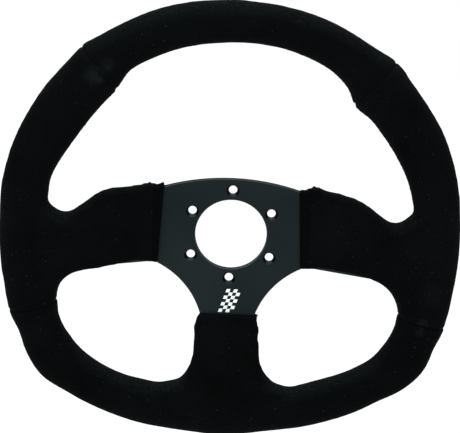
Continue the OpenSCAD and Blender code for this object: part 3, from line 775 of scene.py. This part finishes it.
def fold_hem(bm, place, facing, slices, distance, spoke, near):
    """Folds a sleeve's open edge down onto the plate; spoke(co) gives a point's place across the spoke."""
    add_rows(bm, place, facing, HEM_ROWS, near)
    bm.normal_update()
    for vert in bm.verts:
        away = -(vert.co - place).dot(facing) / MM
        if near(vert.co) and away < HEM_LINE + 2:
            groove = math.exp(-((away - HEM_LINE) / 0.6) ** 2) * HEM_DEPTH
            roll = max(0.0, 1.0 - away / 1.0) ** 2 * 0.5
            vert.co -= vert.normal * (groove + roll) * MM
    low, high, _ = smooth_between(slices, distance)
    low, high = low + SLEEVE_MARGIN, high - SLEEVE_MARGIN
    edges = open_edges(bm, place, facing, near)
    for fold in (0, 1):
        made = bmesh.ops.extrude_edge_only(bm, edges=edges)["geom"]
        ring = {item for item in made if isinstance(item, bmesh.types.BMVert)}
        edges = [item for item in made if isinstance(item, bmesh.types.BMEdge) and set(item.verts) <= ring]
        for vert in ring:
            across = spoke(vert.co)
            depth = vert.co.y / MM - mid_y
            onto = Vector((0.0, max(-PLATE_HALF, min(PLATE_HALF, depth)) - depth, 0.0))
            side = max(low, min(high, across.dot(vert.co) / MM)) - across.dot(vert.co) / MM
            share = 0.35 if fold == 0 else 1.0
            vert.co += (onto + across * side) * share * MM
            vert.co += facing * ((0.45 + 0.35 * noise.noise(vert.co * 140.0)) if fold == 0 else -0.5) * MM


# %% [markdown]
# ## Gathers
# Where flat suede is wrapped round a spoke, its spare length shows as small gathers on the sleeve's edges
# near the mouth. Each one is a soft ridge that crosses the edge, so it is pushed out along the skin's
# normals by a bell curve of the distance from the ridge.

# %% Gathers
GATHERS = {"left": [(-67.6, 36.6, 1.3, 1.8), (-64.0, 37.2, 2.2, 1.7), (-60.8, 37.4, 1.4, 1.5),
                    (-54.0, 38.4, 1.3, 1.7), (-63.0, -26.0, 0.5, 2.2), (-56.5, -26.0, 0.6, 1.8)],
           "right": [(58.0, 38.2, 0.7, 1.6), (61.8, 38.2, 2.4, 1.8), (65.4, 37.4, 1.8, 1.7),
                     (52.2, 39.0, 0.9, 1.5), (64.0, -26.0, 0.4, 2.4)],
           "bottom": [(22.5, -69.5, -0.6, 2.0), (-22.5, -65.5, -1.6, 1.8), (-22.6, -70.0, -0.5, 2.0),
                      (24.2, -77.5, 1.2, 2.6), (-24.0, -77.0, 1.0, 2.6)],
           "top": []}


def gather(bm, ridges):
    bm.normal_update()
    moves = []
    for vert in bm.verts:
        push = 0.0
        for x, z, height, width in ridges:
            away = math.hypot(vert.co.x / MM - x, (vert.co.z / MM - z) * 0.6)
            if away < 3 * width:
                push += height * math.exp(-(away / width) ** 2)
        if push:
            moves.append((vert, vert.normal * push * MM))
    for vert, move in moves:
        vert.co += move


def ripple(bm):
    """Very slight, broad unevenness from hand stretching."""
    bm.normal_update()
    for vert in bm.verts:
        vert.co += vert.normal * noise.noise(vert.co * 38.0) * 0.35 * MM


# %% [markdown]
# ## The four panels
# The top panel is a plain tube. Each side panel is a length of the grip with its spoke's sleeve, and the
# bottom panel is the rest of the rim with the lower spoke's sleeve. The suede is 1.2 mm thick, which
# Solidify adds towards the foam once the cuts and folds are made. The panels stand for the foam and the
# pads under them too: those are plain solids, and stretched suede moves them by a millimetre or two.

# %% The four panels
SUEDE_THICKNESS = 1.2
SPARE = 5.0
START_SMALLER = -0.7
SIDE_MOUTHS = {1: (Vector((50.2, 38.0)), Vector((54.6, -26.0))),
               -1: (Vector((52.6, 38.0)), Vector((55.7, -26.0)))}
STEM_MOUTH = -65.0


def grip(s, angle):
    return grip_surface(s, angle, START_SMALLER)


def side_mouth_plane(side):
    top, low = SIDE_MOUTHS[side]
    run = (top - low).normalized()
    middle = (top + low) / 2
    return Vector((side * middle.x, mid_y, middle.y)) * MM, Vector((-side * run.y, 0.0, run.x))


def make_panel(name, start, end, sleeve=None, side=0):
    """Makes one suede panel, from seam to seam, and returns it with the bottoms of its two seam valleys."""
    tubes = [(grip, start - SPARE, end + SPARE, 4.0, 40)]
    if sleeve:
        slices = {1: RIGHT_SLICES, -1: LEFT_SLICES, 0: STEM_SLICES}[side]
        tubes.append((sleeve, slices[0][0] - 3, slices[-1][0], 3.0, 32))
    obj = even_skin(name, tubes)
    moved = swell(obj)
    subdivide(obj)
    bm = bmesh.new()
    bm.from_mesh(obj.data)
    gather(bm, GATHERS[name.split("_")[0]])
    ripple(bm)
    if sleeve and side:
        place, facing = side_mouth_plane(side)
        cut(bm, place, facing)
        fold_hem(bm, place, facing, slices, 54.0, lambda co: Vector((0.0, 0.0, 1.0)),
                 lambda co: side * co.x < 72 * MM)
    elif sleeve:
        place, facing = Vector((0.0, mid_y, STEM_MOUTH)) * MM, Vector((0.0, 0.0, 1.0))
        cut(bm, place, facing, lambda co: abs(co.x) < 40 * MM)
        fold_hem(bm, place, facing, STEM_SLICES, -STEM_MOUTH, lambda co: Vector((1.0, 0.0, 0.0)),
                 lambda co: abs(co.x) < 40 * MM and co.z > -82 * MM)
    valleys = []
    for s, ahead in ((start, -1), (end, 1)):
        place, facing = seam_plane(s, ahead)
        cut(bm, place, facing)
        valleys.append(sink_seam(bm, place, facing))
    bm.to_mesh(obj.data)
    tree = BVHTree.FromBMesh(bm)
    bm.free()
    obj.data.materials.clear()
    obj.data.materials.append(suede)
    wall = obj.modifiers.new("Suede", "SOLIDIFY")
    wall.thickness = SUEDE_THICKNESS * MM
    wall.offset = -1.0
    bake(obj)
    obj.data.shade_smooth()
    print(name, len(obj.data.polygons), "faces, furthest swell", round(moved, 2), "mm")
    return obj, valleys, tree


panels = {
    "cover_top": make_panel("top_suede", -upper_seam, upper_seam),
    "cover_right": make_panel("right_suede", upper_seam, lower_seam, right_sleeve, 1),
    "cover_left": make_panel("left_suede", -lower_seam, -upper_seam, left_sleeve, -1),
    "cover_bottom": make_panel("bottom_suede", lower_seam, 2 * half_len - lower_seam, bottom_sleeve)}
UNDERNEATH = {"cover_top": ["rim_foam"], "cover_right": ["right_pad_front", "right_pad_back"],
              "cover_left": ["left_pad_front", "left_pad_back"],
              "cover_bottom": ["bottom_pad_front", "bottom_pad_back"]}
for node_name, (panel, _, _) in panels.items():
    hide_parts(node_name, *UNDERNEATH[node_name])
    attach(panel, "root")

# %% [markdown]
# ## Seam threads
# A thick thread lies at the bottom of each valley. It follows the panel's own cut edge, so it can't float
# off the suede. A curve with a round bevel makes the tube, and it is turned into a mesh before use.

# %% Seam threads
def thread_mesh(points, radius, closed):
    """A mesh tube along some points."""
    curve = bpy.data.curves.new("thread", "CURVE")
    curve.dimensions = "3D"
    curve.bevel_depth = radius * MM
    curve.bevel_resolution = 2
    curve.use_fill_caps = True
    spline = curve.splines.new("POLY")
    spline.points.add(len(points) - 1)
    for knot, point in zip(spline.points, points):
        knot.co = (*point, 1.0)
    spline.use_cyclic_u = closed
    holder = new_object("thread", curve)
    depsgraph = bpy.context.evaluated_depsgraph_get()
    mesh = bpy.data.meshes.new_from_object(holder.evaluated_get(depsgraph), depsgraph=depsgraph)
    bpy.data.objects.remove(holder)
    bpy.data.curves.remove(curve)
    return mesh


def finish_thread(name, mesh, node_name):
    mesh.materials.clear()
    mesh.materials.append(thread)
    mesh.shade_smooth()
    obj = new_object(name, mesh)
    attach(obj, "root")
    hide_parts(node_name)
    return obj


for side_name in ("right", "left"):
    _, valleys, _ = panels["cover_" + side_name]
    upper, lower = valleys if side_name == "right" else reversed(valleys)
    for height, painted_seam_shade in (("upper", upper), ("lower", lower)):
        finish_thread(f"{height}_{side_name}_seam_thread", thread_mesh(painted_seam_shade, 0.45, True),
                      f"{height}_{side_name}_seam")
        print(height, side_name, "seam thread has", len(painted_seam_shade), "points")

# %% [markdown]
# ## Stitches along the windows
# The suede's two long edges meet on the inside of the rim and round the spokes, and are sewn together
# there by hand. Rays from a window's middle find that line on the finished suede, so the stitches sit on
# it wherever the foam has pushed it. One stitch is a tiny stretched sphere, copied every few millimetres.

# %% Stitches along the windows
STITCH_PITCH = 4.2
STITCH = Vector((1.5, 0.38, 0.34))
STITCH_SLANT = math.radians(24)
STITCH_SUNK = 0.14
plate_bm = bmesh.new()
plate_bm.from_mesh(nodes["spoke_plate"].data)
plate_tree = BVHTree.FromBMesh(plate_bm)
plate_bm.free()


def window_edges(middle):
    """Runs of (point, normal) where the suede faces a window's middle, one run for each panel met."""
    runs, current, owner = [], [], None
    start = Vector((middle[0], mid_y, middle[1])) * MM
    for step in range(1081):
        turn = 2 * math.pi * step / 1080
        ray = Vector((math.cos(turn), 0.0, math.sin(turn)))
        hits = [(tree.ray_cast(start, ray), key) for key, (_, _, tree) in panels.items()]
        hits.append((plate_tree.ray_cast(start, ray), "plate"))
        hits = [(hit[3], key, hit) for hit, key in hits if hit[0] is not None]
        nearest = min(hits, key=lambda item: item[0]) if hits else (0.0, "plate", None)
        if nearest[1] != owner or (current and (nearest[2][0] - current[-1][0]).length > 4 * MM):
            if len(current) > 3:
                runs.append(current)
            current, owner = [], nearest[1]
        if nearest[1] != "plate":
            normal = nearest[2][1]
            current.append((nearest[2][0], normal if normal.dot(ray) < 0 else -normal))
    if len(current) > 3:
        runs.append(current)
    return runs


def sew(bm, run):
    """Adds a stitch every few millimetres along a run, and returns how many."""
    travelled, due, count = 0.0, STITCH_PITCH / 2, 0
    for (here, normal), (there, _) in zip(run, run[1:]):
        length = (there - here).length / MM
        while travelled + length > due:
            place = here.lerp(there, (due - travelled) / max(length, 1e-6))
            along = (there - here).normalized()
            across = normal.cross(along).normalized()
            along = (along * math.cos(STITCH_SLANT) + across * math.sin(STITCH_SLANT)).normalized()
            across = normal.cross(along).normalized()
            turn = Matrix((along, across, along.cross(across))).transposed().to_4x4()
            shape = Matrix.Diagonal((*(STITCH * MM), 1.0))
            seat = Matrix.Translation(place - normal * STITCH_SUNK * MM)
            bmesh.ops.create_uvsphere(bm, u_segments=6, v_segments=4, radius=1.0,
                                      matrix=seat @ turn @ shape)
            due += STITCH_PITCH
            count += 1
        travelled += length
    return count


LACE_SUNK = 0.2
LACE_R = 0.28
WINDOW_PLACES = [("top", (0.0, 88.0), "top_lacing"), ("right", (78.0, -76.0), "right_lacing"),
                 ("left", (-78.0, -76.0), "left_lacing")]
for window, middle, node_name in WINDOW_PLACES:
    stitch_bm = bmesh.new()
    count = sum(sew(stitch_bm, run) for run in window_edges(middle))
    for run in window_edges(middle):
        line = thread_mesh([point - normal * LACE_SUNK * MM for point, normal in run[::3]], LACE_R, False)
        stitch_bm.from_mesh(line)
        bpy.data.meshes.remove(line)
    mesh = bpy.data.meshes.new(window + "_window_stitches")
    stitch_bm.to_mesh(mesh)
    stitch_bm.free()
    finish_thread(window + "_window_stitches", mesh, node_name)
    print(window, "window has", count, "stitches")

# %% [markdown]
# ## The mark on the lower spoke
# A small white mark is printed on the plate below the bore. A plain slanted chequer stands in for it: a
# grid with every second square taken out, sheared, and given the thickness of a coat of ink.

# %% The mark on the lower spoke
MARK_SIZE = (11.5, 19.0)
MARK_PLACE = (1.5, -53.5)
MARK_SLANT = 0.32
INK = 0.04
COLUMNS, ROWS = 4, 7

mark_bm = bmesh.new()
bmesh.ops.create_grid(mark_bm, x_segments=COLUMNS, y_segments=ROWS, size=0.5)
bmesh.ops.scale(mark_bm, vec=(MARK_SIZE[0], MARK_SIZE[1], 1.0), verts=mark_bm.verts)
spaces = [face for face in mark_bm.faces
          if (math.floor((face.calc_center_median().x / MARK_SIZE[0] + 0.5) * COLUMNS)
              + math.floor((face.calc_center_median().y / MARK_SIZE[1] + 0.5) * ROWS)) % 2]
bmesh.ops.delete(mark_bm, geom=spaces, context="FACES")
shear = Matrix(((1.0, MARK_SLANT, 0.0, 0.0), (0.0, 1.0, 0.0, 0.0),
                (0.0, 0.0, 1.0, 0.0), (0.0, 0.0, 0.0, 1.0)))
bmesh.ops.transform(mark_bm, matrix=shear, verts=mark_bm.verts)
bmesh.ops.split_edges(mark_bm, edges=mark_bm.edges)
bmesh.ops.solidify(mark_bm, geom=mark_bm.faces[:], thickness=INK)
plate_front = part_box("spoke_plate")[0].y / MM
stand = (Matrix.Translation(Vector((MARK_PLACE[0], plate_front - INK * 0.6, MARK_PLACE[1])) * MM)
         @ Matrix.Rotation(math.pi / 2, 4, "X") @ Matrix.Scale(MM, 4))
bmesh.ops.transform(mark_bm, matrix=stand, verts=mark_bm.verts)
bmesh.ops.recalc_face_normals(mark_bm, faces=mark_bm.faces)
mark_mesh = bpy.data.meshes.new("white_mark")
mark_bm.to_mesh(mark_mesh)
mark_bm.free()
mark_mesh.materials.append(ink)
mark = new_object("white_mark", mark_mesh)
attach(mark, "root")
print("mark with", len(mark_mesh.polygons), "faces")
